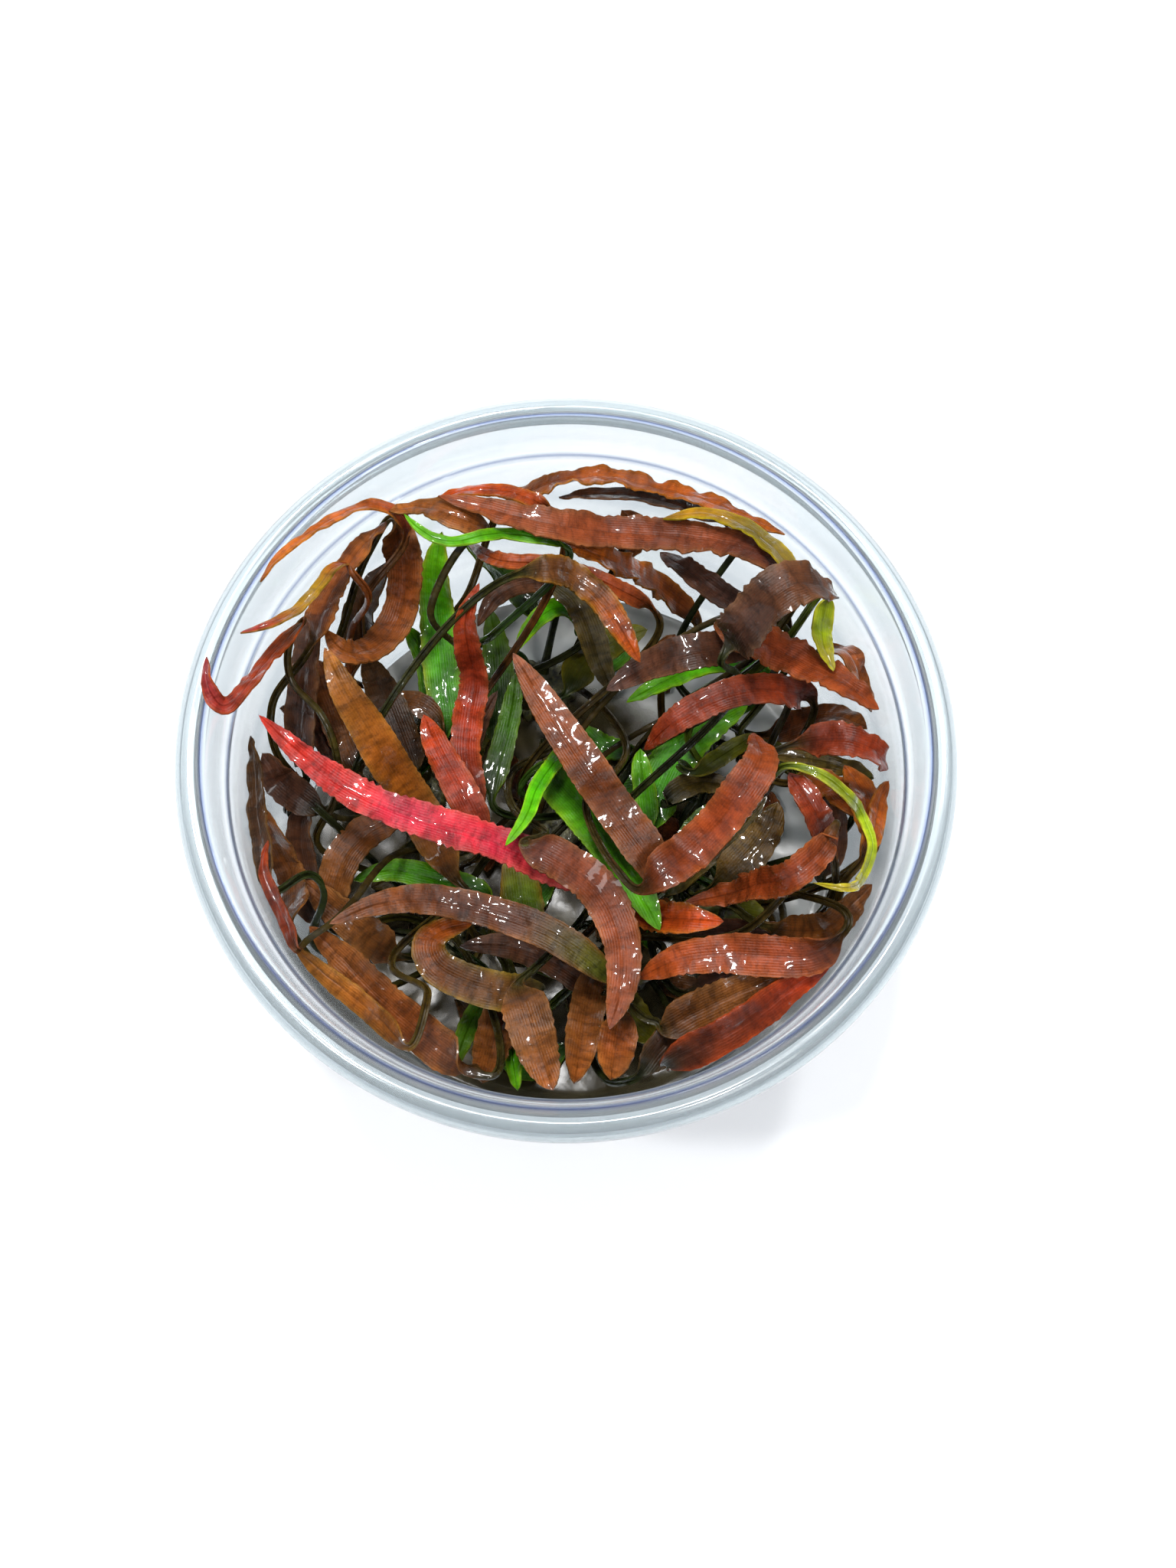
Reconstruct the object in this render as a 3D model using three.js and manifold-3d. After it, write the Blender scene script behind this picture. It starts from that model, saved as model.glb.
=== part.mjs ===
// A culture cup of cryptocoryne spiralis: an open round cup of translucent plastic, a disc of
// clear gel in it, seven small rootstocks in the gel, and their long narrow leaves, which are
// taller than the cup and curl round inside it. Millimetres, +Z up, origin under the cup's centre.
import * as THREE from "three";
import { mergeVertices } from "three/addons/utils/BufferGeometryUtils.js";
import Module from "manifold-3d";

const wasm = await Module();
wasm.setup();

// Cup
const cupHeight = 65;
const lipRadius = 50;
const ledgeRadius = 43.9;
const ledgeHeight = cupHeight - 7.9;
const floorRadius = 37.2;
const floorHeight = 1.8;
const wallThickness = 0.9;
const cupSides = 32;

// Gel
const gelTop = 19;
const gelGap = 0.3;

// Rootstocks
const crownRing = { count: 6, radius: 24, firstAngle: 100 };
const crownRadius = 5;
const crownTop = gelTop + 2.4;
const rootDepth = 10;
const crownSides = 6;

// Where stalks stand on a rootstock: long leaves on its edge, young ones in its heart
const outerSlots = { count: 10, radius: 4, height: crownTop + 0.4, apart: true };
const heartSlots = { count: 7, radius: 0.9, height: crownTop - 1.4, apart: false };

// Low leaves that lie out over the gel from the side of a rootstock, and are one with it: the
// rootstock's number, the direction in degrees and how far they reach
const lowLeaves = [
  [0, 45, 9], [0, 150, 9], [0, 255, 12],
  [1, 15, 12], [1, 150, 12], [1, 210, 12], [1, 270, 9],
  [2, 90, 10.5], [2, 270, 12], [2, 330, 12],
  [3, 285, 12], [3, 345, 12],
  [4, 15, 12], [4, 90, 12], [4, 240, 12],
  [5, 45, 12], [5, 120, 12], [5, 195, 9], [5, 270, 9],
  [6, 0, 12], [6, 120, 12], [6, 195, 12],
];
const lowHeight = gelTop + 1;
const lowRise = 1.2;
const lowWidth = 3.8;
const lowTurn = THREE.MathUtils.degToRad(22);

// A low leaf's stations: share of its reach, and share of its width
const lowStations = [[-0.18, 0.5], [0.3, 1], [0.75, 0.75], [1, 0]];

// Leaves
const bladeThickness = 0.7;
const stalkHalf = 0.55;
const stalkThickness = 1;
const footRoom = 1.1;
const bladeFloor = 31;
const clearance = 0.3;
const wallClearance = 0.7;
const stationSpacing = 9;
const turnPerStation = 0.8;
const steepestLean = THREE.MathUtils.degToRad(38);

// The camera that took the photograph, fitted to the rings of the rim. Each leaf's route is
// traced on the photograph as pixels, with a height in the cup, and this camera places it.
const photoCentre = { x: 768, y: 1024 };
const photoFocal = 2600;
const photoDistance = 250.2;
const photoElevation = THREE.MathUtils.degToRad(72.46);
const photoAim = new THREE.Vector3(2.78, -5.53, cupHeight);
const viewBack = new THREE.Vector3(0, -Math.cos(photoElevation), Math.sin(photoElevation));
const viewUp = new THREE.Vector3(0, Math.sin(photoElevation), Math.cos(photoElevation));
const eye = photoAim.clone().addScaledVector(viewBack, photoDistance);

function place([x, y, z]) {
  const ray = new THREE.Vector3((x - photoCentre.x) / photoFocal, 0, 0);
  ray.addScaledVector(viewUp, (photoCentre.y - y) / photoFocal);
  ray.sub(viewBack);
  return eye.clone().addScaledVector(ray, (z - eye.z) / ray.z);
}

const tints = {
  pink: 0xd8455a,
  red: 0xa83c2c,
  orange: 0xc0602a,
  salmon: 0xb05a40,
  brown: 0x7a4630,
  mauve: 0x6b4540,
  olive: 0x76702c,
  lime: 0x8fae3a,
  green: 0x3f9a1c,
};

// Young leaves, fused to the rootstock that they grow from, the lowest first. A route runs from
// the blade's foot to its tip, as x and y in the photograph and a height in millimetres; width is
// the blade's widest place.
const youngLeaves = [
  { width: 5.2,
    route: [
      [792, 1258, 32], [806, 1300, 32], [832, 1336, 33], [860, 1362, 34],
    ],
  },
  { width: 5.5,
    route: [
      [885, 1192, 32], [925, 1188, 32], [965, 1190, 33], [1003, 1200, 34],
    ],
  },
  { width: 5.2,
    route: [
      [742, 905, 32], [762, 866, 32], [800, 838, 33], [846, 822, 34],
    ],
  },
  { width: 4.8,
    route: [
      [655, 985, 33], [652, 915, 34], [648, 850, 34], [640, 795, 35],
    ],
  },
  { width: 4.1,
    route: [
      [700, 805, 34], [668, 760, 35], [640, 736, 37], [608, 712, 42],
    ],
  },
  { width: 6.4,
    route: [
      [846, 1088, 33], [858, 1040, 34], [880, 990, 35], [918, 952, 37],
      [978, 917, 38],
    ],
  },
  { width: 3.3,
    route: [
      [1010, 884, 34], [965, 866, 35], [905, 873, 37], [865, 891, 38],
      [818, 917, 38],
    ],
  },
  { width: 3,
    route: [
      [768, 830, 34], [752, 796, 36], [722, 794, 38], [694, 817, 38],
      [674, 850, 38],
    ],
  },
  { width: 3.9,
    route: [
      [655, 1180, 34], [600, 1156, 36], [550, 1144, 38], [505, 1136, 38],
      [462, 1150, 38],
    ],
  },
  { width: 3.4,
    route: [
      [566, 935, 34], [561, 890, 36], [555, 858, 37], [530, 818, 37],
    ],
  },
  { width: 3.4,
    route: [
      [846, 1085, 34], [844, 1040, 36], [838, 1010, 38], [836, 978, 38],
    ],
  },
  { width: 3.7,
    route: [
      [885, 1120, 33], [906, 1085, 34], [932, 1050, 35],
    ],
  },
  { width: 3.4,
    route: [
      [862, 1052, 34], [892, 1028, 36], [925, 1020, 37], [962, 1034, 37],
    ],
  },
  { width: 2.8,
    route: [
      [624, 1060, 35], [611, 1005, 38], [622, 955, 39], [650, 902, 40],
    ],
  },
  { width: 5.8,
    route: [
      [692, 1238, 34], [684, 1195, 35], [678, 1150, 37], [672, 1105, 37],
    ],
  },
  { width: 5.5,
    route: [
      [586, 950, 33], [578, 870, 36], [571, 800, 38], [569, 735, 43.5],
      [572, 684, 46],
    ],
  },
  { width: 3.4,
    route: [
      [890, 1222, 35], [955, 1216, 38], [1020, 1220, 41], [1085, 1226, 42.5],
    ],
  },
  { width: 5.1,
    route: [
      [418, 1215, 34], [404, 1165, 37], [393, 1115, 39], [392, 1072, 41],
      [412, 1035, 41],
    ],
  },
  { width: 4.1,
    route: [
      [452, 1040, 35], [438, 985, 38], [415, 948, 39], [366, 925, 46],
    ],
  },
  { width: 3.4,
    route: [
      [578, 950, 35], [548, 918, 38], [515, 920, 38], [490, 945, 38],
    ],
  },
  { width: 2.8,
    route: [
      [640, 1300, 37], [620, 1325, 39], [604, 1362, 41], [592, 1398, 42],
    ],
  },
  { width: 2.1,
    route: [
      [664, 1345, 38], [670, 1385, 42], [676, 1424, 46],
    ],
  },
  { width: 4.1,
    route: [
      [800, 1315, 35], [752, 1275, 38], [700, 1246, 39], [640, 1232, 40],
      [600, 1236, 40],
    ],
  },
  { width: 2.8,
    route: [
      [866, 1168, 34], [918, 1126, 38], [964, 1084, 40], [1002, 1040, 41],
    ],
  },
  { width: 5.3,
    route: [
      [935, 1158, 34], [972, 1122, 38], [1000, 1088, 39], [1016, 1048, 40],
    ],
  },
  { width: 3.7,
    route: [
      [775, 812, 35], [742, 770, 38], [697, 762, 40], [660, 770, 41],
      [638, 790, 41], [624, 818, 40],
    ],
  },
  { width: 4.1,
    route: [
      [718, 752, 37], [752, 782, 39], [772, 826, 40], [785, 868, 39],
      [802, 908, 38],
    ],
  },
  { width: 5.3,
    route: [
      [428, 1205, 37], [436, 1155, 40], [455, 1110, 42], [492, 1078, 42],
      [540, 1062, 42],
    ],
  },
  { width: 4.8,
    route: [
      [782, 1262, 37], [768, 1310, 41], [760, 1362, 44], [750, 1415, 47],
    ],
  },
  { width: 5.1,
    route: [
      [812, 1318, 38], [806, 1360, 42], [798, 1410, 47],
    ],
  },
  { width: 4.1,
    route: [
      [1070, 1150, 37], [1090, 1105, 41], [1088, 1060, 43], [1068, 1022, 44],
    ],
  },
  { width: 3,
    route: [
      [1140, 1018, 46], [1090, 998, 43], [1048, 990, 44], [1004, 986, 43],
    ],
  },
  { width: 4.8,
    route: [
      [420, 1062, 35], [385, 1036, 39], [350, 1008, 46], [326, 982, 46],
    ],
  },
  { width: 5.3,
    route: [
      [472, 1015, 34], [452, 962, 37], [432, 908, 38], [416, 862, 42],
    ],
  },
  { width: 5.8,
    route: [
      [484, 858, 37.5], [468, 805, 44.5], [462, 752, 46], [476, 700, 46],
    ],
  },
  { width: 5.3,
    route: [
      [545, 1015, 34], [522, 962, 35], [500, 905, 37], [476, 856, 38],
    ],
  },
  { width: 3.4,
    route: [
      [640, 1045, 33], [652, 990, 34], [668, 930, 34], [674, 878, 34],
    ],
  },
  { width: 2.8,
    route: [
      [905, 1012, 34], [945, 986, 35], [988, 958, 36],
    ],
  },
  { width: 4.8,
    route: [
      [1000, 962, 35], [1050, 944, 38], [1100, 936, 44], [1142, 950, 46],
    ],
  },
  { width: 5.1,
    route: [
      [525, 1252, 34], [472, 1216, 37], [430, 1180, 38], [396, 1150, 39],
    ],
  },
  { width: 5.1,
    route: [
      [662, 1292, 35], [650, 1338, 38], [640, 1380, 41], [630, 1414, 46],
    ],
  },
  { width: 4.1,
    route: [
      [895, 1300, 34], [950, 1280, 38], [1010, 1262, 40], [1060, 1272, 46],
    ],
  },
  { width: 4.6,
    route: [
      [812, 725, 39], [829, 686, 46], [816, 648, 46],
    ],
  },
  { width: 4.6,
    route: [
      [1048, 1010, 35], [1090, 1030, 39], [1128, 1052, 46], [1155, 1030, 46],
    ],
  },
  { width: 4,
    route: [
      [975, 700, 54], [920, 672, 55], [860, 652, 55], [790, 645, 55],
      [730, 650, 54],
    ],
  },
];

// Long leaves, each a piece of its own, the lowest first, with routes of the same kind
const longLeaves = {
  wall_olive: { tint: "brown", width: 4.6,
    route: [
      [378, 1205, 52], [386, 1165, 45], [374, 1125, 43], [356, 1090, 47.5],
      [338, 1050, 49],
    ],
  },
  left_wall: { tint: "brown", width: 3.3,
    route: [
      [350, 1165, 52], [326, 1112, 52], [316, 1060, 52], [313, 1010, 52],
      [318, 960, 52],
    ],
  },
  left_mauve: { tint: "mauve", width: 5.3,
    route: [
      [392, 1000, 37], [392, 935, 42.5], [398, 880, 47], [403, 830, 52],
      [410, 785, 54],
    ],
  },
  bottom_right: { tint: "brown", width: 4.6,
    route: [
      [835, 1405, 44], [868, 1362, 46], [905, 1325, 46], [925, 1290, 45],
    ],
  },
  right_brown: { tint: "brown", width: 4.4,
    route: [
      [1006, 1212, 38], [1060, 1216, 45], [1108, 1196, 52], [1142, 1156, 52],
    ],
  },
  top_wall: { tint: "orange", width: 4.6,
    route: [
      [655, 668, 48.5], [690, 640, 53.5], [735, 624, 56], [785, 617, 57.5],
      [835, 627, 57], [885, 641, 57], [935, 655, 58], [985, 668, 58],
      [1034, 689, 58],
    ],
  },
  top_back: { tint: "orange", width: 2.8,
    route: [
      [722, 668, 46.5], [680, 647, 52], [640, 640, 54.5], [600, 643, 56.5],
      [560, 657, 55.5],
    ],
  },
  top_crumpled: { tint: "orange", width: 4.4,
    route: [
      [912, 815, 39], [872, 776, 42], [830, 748, 44], [780, 724, 46],
      [722, 703, 47],
    ],
  },
  top_red: { tint: "red", width: 2.5,
    route: [
      [858, 800, 41], [815, 773, 44], [765, 750, 46], [710, 736, 47],
      [655, 732, 47], [612, 710, 47],
    ],
  },
  mauve_flap: { tint: "mauve", width: 4.1,
    route: [
      [1030, 822, 41], [985, 796, 42], [940, 776, 44], [900, 745, 45],
      [862, 722, 45],
    ],
  },
  left_loop: { tint: "brown", width: 5.3,
    route: [
      [512, 676, 58], [529, 735, 51], [524, 795, 47], [494, 843, 47],
      [452, 852, 47], [424, 822, 47],
    ],
  },
  left_scallop: { tint: "brown", width: 4.8,
    route: [
      [408, 842, 47.5], [422, 795, 53], [446, 750, 55.5], [472, 714, 57.5],
      [505, 682, 57],
    ],
  },
  long_orange: { tint: "orange", width: 5.6,
    route: [
      [596, 1150, 37], [566, 1092, 42], [536, 1040, 45], [510, 1000, 46],
      [483, 955, 47], [455, 912, 47], [424, 846, 47],
    ],
  },
  red_twist: { tint: "red", width: 4.1,
    route: [
      [626, 1068, 37], [613, 1010, 42], [607, 960, 45], [620, 905, 46],
      [613, 855, 47], [606, 815, 47], [626, 762, 47],
    ],
  },
  red_lance: { tint: "red", width: 4.5,
    route: [
      [632, 1098, 37], [611, 1050, 42], [592, 1015, 44], [575, 984, 45],
      [553, 934, 45],
    ],
  },
  pink: { tint: "pink", width: 4.9,
    route: [
      [800, 1172, 42], [735, 1138, 47], [675, 1112, 49], [607, 1086, 51],
      [540, 1068, 52], [472, 1039, 53], [415, 1003, 53], [375, 968, 53],
      [338, 934, 54],
    ],
  },
  rim_curl: { tint: "orange", width: 3, overRim: true,
    route: [
      [400, 808, 50], [378, 830, 57], [346, 866, 63], [319, 900, 67],
      [296, 922, 67], [280, 924, 68], [272, 900, 69], [270, 858, 69],
    ],
  },
  rim_olive: { tint: "olive", width: 2.2, overRim: true,
    route: [
      [456, 738, 56], [434, 742, 60], [416, 766, 63], [394, 791, 65],
      [370, 807, 66], [343, 820, 67], [314, 827, 67],
    ],
  },
  rim_orange: { tint: "orange", width: 2.3, overRim: true,
    route: [
      [532, 700, 54], [521, 668, 60], [500, 660, 61], [447, 670, 62],
      [420, 687, 63], [392, 705, 64], [363, 728, 65], [340, 760, 66],
    ],
  },
  purple_mid: { tint: "mauve", width: 5.1,
    route: [
      [1000, 836, 39], [945, 846, 42], [890, 854, 44], [845, 870, 44],
      [792, 902, 43],
    ],
  },
  orange_arch: { tint: "orange", width: 3.9,
    route: [
      [682, 748, 41], [726, 744, 46], [766, 763, 47], [795, 796, 47],
      [815, 828, 47], [836, 865, 46],
    ],
  },
  red_brown: { tint: "red", width: 4.4,
    route: [
      [1062, 915, 42], [1020, 902, 46], [975, 901, 47], [925, 917, 47],
      [882, 942, 47], [842, 979, 45],
    ],
  },
  wall_brown: { tint: "brown", width: 3.9,
    route: [
      [1072, 850, 47.5], [1108, 850, 54.5], [1134, 866, 54], [1143, 900, 53],
      [1138, 930, 52],
    ],
  },
  large_orange: { tint: "orange", width: 5.8,
    route: [
      [938, 812, 44], [982, 834, 48], [1030, 856, 49], [1075, 880, 50],
      [1112, 898, 52], [1152, 926, 52.5],
    ],
  },
  light_green: { tint: "lime", width: 3.2,
    route: [
      [1087, 766, 57.5], [1078, 795, 55], [1073, 825, 52], [1078, 850, 52],
      [1089, 876, 52],
    ],
  },
  top_tan: { tint: "brown", width: 4.1,
    route: [
      [640, 694, 45.5], [590, 672, 52.5], [548, 662, 57.5], [508, 668, 58],
    ],
  },
  thin_green: { tint: "green", width: 1.8,
    route: [
      [738, 712, 42], [700, 702, 47], [660, 697, 47], [628, 700, 48],
      [595, 708, 48], [560, 700, 49], [528, 672, 55.5],
    ],
  },
  top_long: { tint: "red", width: 5.5,
    route: [
      [1042, 758, 54], [1000, 726, 55], [945, 708, 51.5], [880, 700, 51],
      [815, 697, 51], [750, 690, 51], [690, 678, 51], [630, 662, 53],
      [572, 648, 57],
    ],
  },
  top_olive: { tint: "olive", width: 3.3,
    route: [
      [1052, 775, 52], [1034, 742, 55.5], [1006, 711, 56.5], [985, 695, 56.5],
      [954, 678, 56], [924, 670, 55], [866, 678, 54],
    ],
  },
  mauve_wide: { tint: "mauve", width: 6.7,
    route: [
      [952, 846, 44], [974, 815, 48], [1002, 786, 50], [1036, 762, 55],
      [1066, 760, 57.5], [1092, 777, 57],
    ],
  },
  wall_orange: { tint: "orange", width: 5.1,
    route: [
      [1150, 1110, 52], [1136, 1066, 52], [1124, 1030, 49], [1102, 1000, 49],
    ],
  },
  wall_curl: { tint: "orange", width: 3.2,
    route: [
      [1128, 1120, 46.5], [1160, 1092, 52], [1174, 1060, 52], [1160, 1020, 52],
    ],
  },
  wall_red: { tint: "red", width: 4.6,
    route: [
      [1040, 972, 44], [1084, 965, 48], [1122, 968, 50], [1152, 982, 52],
      [1182, 1004, 52],
    ],
  },
  red_hook: { tint: "red", width: 4,
    route: [
      [1088, 1118, 41], [1073, 1080, 45], [1058, 1045, 47], [1030, 1010, 47],
    ],
  },
  right_red: { tint: "red", width: 4.1,
    route: [
      [1092, 1078, 46], [1074, 1108, 48], [1044, 1138, 49], [1000, 1152, 49],
      [950, 1168, 48], [892, 1180, 47],
    ],
  },
  green_ring: { tint: "lime", width: 1.6,
    route: [
      [1030, 1000, 47], [1060, 1006, 51], [1092, 1024, 53], [1122, 1060, 53],
      [1140, 1105, 53], [1128, 1140, 53], [1092, 1161, 53], [1062, 1153, 52],
    ],
  },
  corner_brown: { tint: "brown", width: 5.5,
    route: [
      [862, 1345, 44], [918, 1318, 48], [966, 1295, 50], [1018, 1276, 51],
    ],
  },
  corner_red: { tint: "red", width: 5.1,
    route: [
      [866, 1394, 47], [935, 1366, 52], [998, 1328, 52], [1045, 1294, 52],
      [1086, 1260, 53],
    ],
  },
  orange_low: { tint: "orange", width: 4.4,
    route: [
      [808, 1178, 41], [848, 1196, 45], [895, 1200, 47], [945, 1204, 47],
    ],
  },
  long_red: { tint: "orange", width: 5.3,
    route: [
      [1118, 1232, 52], [1060, 1248, 50], [1000, 1248, 50], [940, 1246, 50],
      [890, 1252, 49], [834, 1278, 47],
    ],
  },
  orange_curl: { tint: "orange", width: 5.1,
    route: [
      [712, 1294, 42], [660, 1296, 47], [612, 1284, 48], [570, 1262, 49],
      [556, 1236, 49], [580, 1214, 48], [618, 1206, 47],
    ],
  },
  lower_brown: { tint: "brown", width: 5.8,
    route: [
      [622, 1410, 52], [568, 1364, 50], [520, 1322, 51], [474, 1280, 51],
      [440, 1244, 51], [404, 1210, 51],
    ],
  },
  lower_orange: { tint: "orange", width: 3.4,
    route: [
      [535, 1368, 52], [482, 1318, 51], [440, 1285, 52], [406, 1258, 52],
      [384, 1236, 53],
    ],
  },
  wall_strip: { tint: "red", width: 2.2,
    route: [
      [378, 1250, 52], [355, 1208, 52], [341, 1178, 52], [334, 1146, 52],
      [350, 1098, 52],
    ],
  },
  bottom_wide: { tint: "brown", width: 6,
    route: [
      [676, 1285, 42], [692, 1335, 47], [708, 1385, 51], [722, 1424, 53],
    ],
  },
  salmon_arch: { tint: "salmon", width: 4.5,
    route: [
      [800, 1280, 42], [754, 1242, 47], [706, 1214, 49], [655, 1196, 50],
      [596, 1180, 51], [536, 1174, 51], [482, 1184, 51], [430, 1207, 51],
    ],
  },
  broad_green: { tint: "green", width: 6.2,
    route: [
      [708, 1000, 37], [735, 1028, 41], [766, 1062, 44], [796, 1102, 45],
      [822, 1140, 45], [862, 1215, 43],
    ],
  },
  small_green: { tint: "green", width: 2.3,
    route: [
      [742, 980, 42], [716, 1006, 47], [699, 1034, 49], [690, 1062, 51],
      [660, 1105, 53],
    ],
  },
  central: { tint: "salmon", width: 5.5,
    route: [
      [872, 1160, 44], [848, 1118, 49], [820, 1080, 52], [793, 1042, 53],
      [765, 1000, 53], [738, 960, 53], [712, 920, 53], [690, 885, 53],
      [670, 853, 53],
    ],
  },
  hanging_salmon: { tint: "salmon", width: 5.5,
    route: [
      [684, 1100, 44], [740, 1128, 51], [780, 1160, 53], [804, 1202, 53],
      [815, 1248, 53], [811, 1295, 52], [796, 1345, 51],
    ],
  },
  red_orange: { tint: "salmon", width: 5.5,
    route: [
      [836, 1164, 42], [872, 1132, 47], [908, 1106, 49], [942, 1070, 50],
      [972, 1030, 51], [992, 998, 51], [984, 958, 50],
    ],
  },
};

// The cup's upper side from the ledge out to the lip, as radius and height
const rimTop = [
  [ledgeRadius, ledgeHeight],
  [44.7, ledgeHeight + 0.7],
  [45.7, cupHeight - 0.8],
  [46.3, cupHeight],
  [47.2, cupHeight - 0.8],
  [48, cupHeight - 0.5],
  [48.9, cupHeight - 1],
  [lipRadius, cupHeight - 1.9],
];

function wallRadius(z) {
  const share = (z - floorHeight) / (ledgeHeight - floorHeight);
  return THREE.MathUtils.lerp(floorRadius, ledgeRadius, share);
}

// Height of the cup's inside or rim at a radius
function cupSurface(radius) {
  if (radius < ledgeRadius) {
    const share = (radius - floorRadius) / (ledgeRadius - floorRadius);
    return THREE.MathUtils.lerp(floorHeight, ledgeHeight, share);
  }
  for (let i = 1; i < rimTop.length; i++) {
    const [r0, z0] = rimTop[i - 1];
    const [r1, z1] = rimTop[i];
    if (radius < r1) return THREE.MathUtils.mapLinear(radius, r0, r1, z0, z1);
  }
  return cupHeight - 5;
}

// What already stands in the cup: its top's height over a grid
const cell = 0.5;
const reach = 53;
const cellsAcross = Math.round((2 * reach) / cell);
const tops = new Float32Array(cellsAcross * cellsAcross).fill(bladeFloor);

// The highest top within some cells of a place
function topNear(x, y, spread) {
  const i = Math.floor((x + reach) / cell);
  const j = Math.floor((y + reach) / cell);
  let highest = -Infinity;
  for (let b = j - spread; b <= j + spread; b++)
    for (let a = i - spread; a <= i + spread; a++)
      highest = Math.max(highest, tops[b * cellsAcross + a]);
  return highest;
}

function raiseTop(x, y, z) {
  const at = Math.floor((y + reach) / cell) * cellsAcross + Math.floor((x + reach) / cell);
  if (tops[at] < z) tops[at] = z;
}

// A blade's half width along its length, from 0 at the foot to 1 at the tip
function bladeHalf(width, u) {
  const growth = THREE.MathUtils.smootherstep(u, -0.18, 0.2);
  const taper = Math.pow(1 - Math.pow(u, 6), 0.75);
  return Math.max((width / 2) * growth * taper, stalkHalf * (1 - u));
}

// How far a curve turns in all, in radians
function turning(curve) {
  const tangents = Array.from({ length: 13 }, (_, k) => curve.getTangentAt(k / 12));
  return tangents.reduce((sum, tangent, k) => sum + tangent.angleTo(tangents[Math.max(k - 1, 0)]), 0);
}

// Stations along a blade: centre, half width and thickness. The last is the tip.
function bladeStations({ width, route }) {
  const curve = new THREE.CatmullRomCurve3(route.map(place), false, "centripetal");
  const wanted = curve.getLength() / stationSpacing + turning(curve) / turnPerStation;
  const steps = Math.max(4, Math.round(wanted));
  const stations = [];
  for (let k = 0; k <= steps; k++) {
    const u = k / steps;
    const half = k === steps ? 0 : bladeHalf(width, u);
    stations.push({ centre: curve.getPointAt(u), half, thickness: bladeThickness });
  }
  return stations;
}

// Each station's four corners. A blade near the wall leans on it, with its outer margin up.
function shapeStations(stations) {
  const up = new THREE.Vector3(0, 0, 1);
  let side = null;
  for (let k = stations.length - 1; k >= 0; k--) {
    const before = stations[Math.max(k - 1, 0)].centre;
    const after = stations[Math.min(k + 1, stations.length - 1)].centre;
    const { centre, half, thickness, stalk } = stations[k];
    const along = after.clone().sub(before).normalize();
    if (stalk) side.addScaledVector(along, -side.dot(along)).normalize();
    else side = up.clone().cross(along).normalize();
    const normal = along.clone().cross(side);
    const across = side.clone();
    if (!stalk) {
      const radius = Math.hypot(centre.x, centre.y);
      const outward = new THREE.Vector3(centre.x, centre.y, 0).divideScalar(radius);
      const lean = THREE.MathUtils.smoothstep(radius, 26, 42) * steepestLean * side.dot(outward);
      across.applyAxisAngle(along, -lean);
      normal.applyAxisAngle(along, -lean);
    }
    stations[k].left = centre.clone().addScaledVector(across, half);
    stations[k].right = centre.clone().addScaledVector(across, -half);
    const deep = half > 0 ? thickness / 2 : 0;
    stations[k].top = centre.clone().addScaledVector(normal, deep);
    stations[k].under = centre.clone().addScaledVector(normal, -deep);
  }
}

// Keeps a blade's margins inside the cup's wall
function keepInside(stations) {
  for (const { centre, left, right } of stations) {
    let excess = 0;
    for (const margin of [left, right])
      excess = Math.max(excess, Math.hypot(margin.x, margin.y) - wallRadius(margin.z) + wallClearance);
    if (excess <= 0) continue;
    const radius = Math.hypot(centre.x, centre.y);
    centre.x *= (radius - excess) / radius;
    centre.y *= (radius - excess) / radius;
  }
}

// Calls visit(x, y, z, k) over the side of a leaf that its middle line `line` belongs to
function overSurface(stations, line, visit) {
  const step = 0.35;
  for (let k = 0; k + 1 < stations.length; k++) {
    const a = stations[k];
    const b = stations[k + 1];
    const alongSteps = Math.ceil(a.centre.distanceTo(b.centre) / step);
    const acrossSteps = Math.max(2, Math.ceil(Math.max(a.half, b.half, 0.4) / step));
    for (let m = 0; m <= alongSteps; m++)
      for (const margin of ["left", "right"])
        for (let n = 0; n <= acrossSteps; n++) {
          const v = n / acrossSteps;
          const from = a[line].clone().lerp(a[margin], v);
          const to = b[line].clone().lerp(b[margin], v);
          const point = from.lerp(to, m / alongSteps);
          visit(point.x, point.y, point.z, k);
        }
  }
}

function liftBy(point, amount) {
  const sight = point.clone().sub(eye);
  point.addScaledVector(sight, amount / sight.z);
}

// Raises a blade along the camera's sight lines until it clears all that lies below it
function settle(stations, overRim) {
  for (let round = 0; round < 40; round++) {
    shapeStations(stations);
    if (!overRim) {
      keepInside(stations);
      shapeStations(stations);
    }
    const need = new Array(stations.length).fill(0);
    overSurface(stations, "under", (x, y, z, k) => {
      const rim = overRim ? cupSurface(Math.hypot(x, y)) : bladeFloor;
      const lack = Math.max(topNear(x, y, 1), rim) + clearance - z;
      need[k] = Math.max(need[k], k === 0 ? lack + footRoom : lack);
      need[k + 1] = Math.max(need[k + 1], lack);
    });
    if (Math.max(...need) < 0.02) return true;
    stations.forEach(({ centre }, k) => {
      const near = need[k];
      const next = Math.max(need[k - 1] ?? 0, need[k + 1] ?? 0);
      liftBy(centre, Math.max(near, next * 0.5) + 0.01);
    });
  }
  return false;
}

// Rootstocks, and the free places for stalks on them
const crowns = [new THREE.Vector2(0, 2)];
for (let k = 0; k < crownRing.count; k++) {
  const angle = THREE.MathUtils.degToRad(crownRing.firstAngle + (360 * k) / crownRing.count);
  crowns.push(new THREE.Vector2(Math.cos(angle), Math.sin(angle)).multiplyScalar(crownRing.radius));
}

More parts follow.
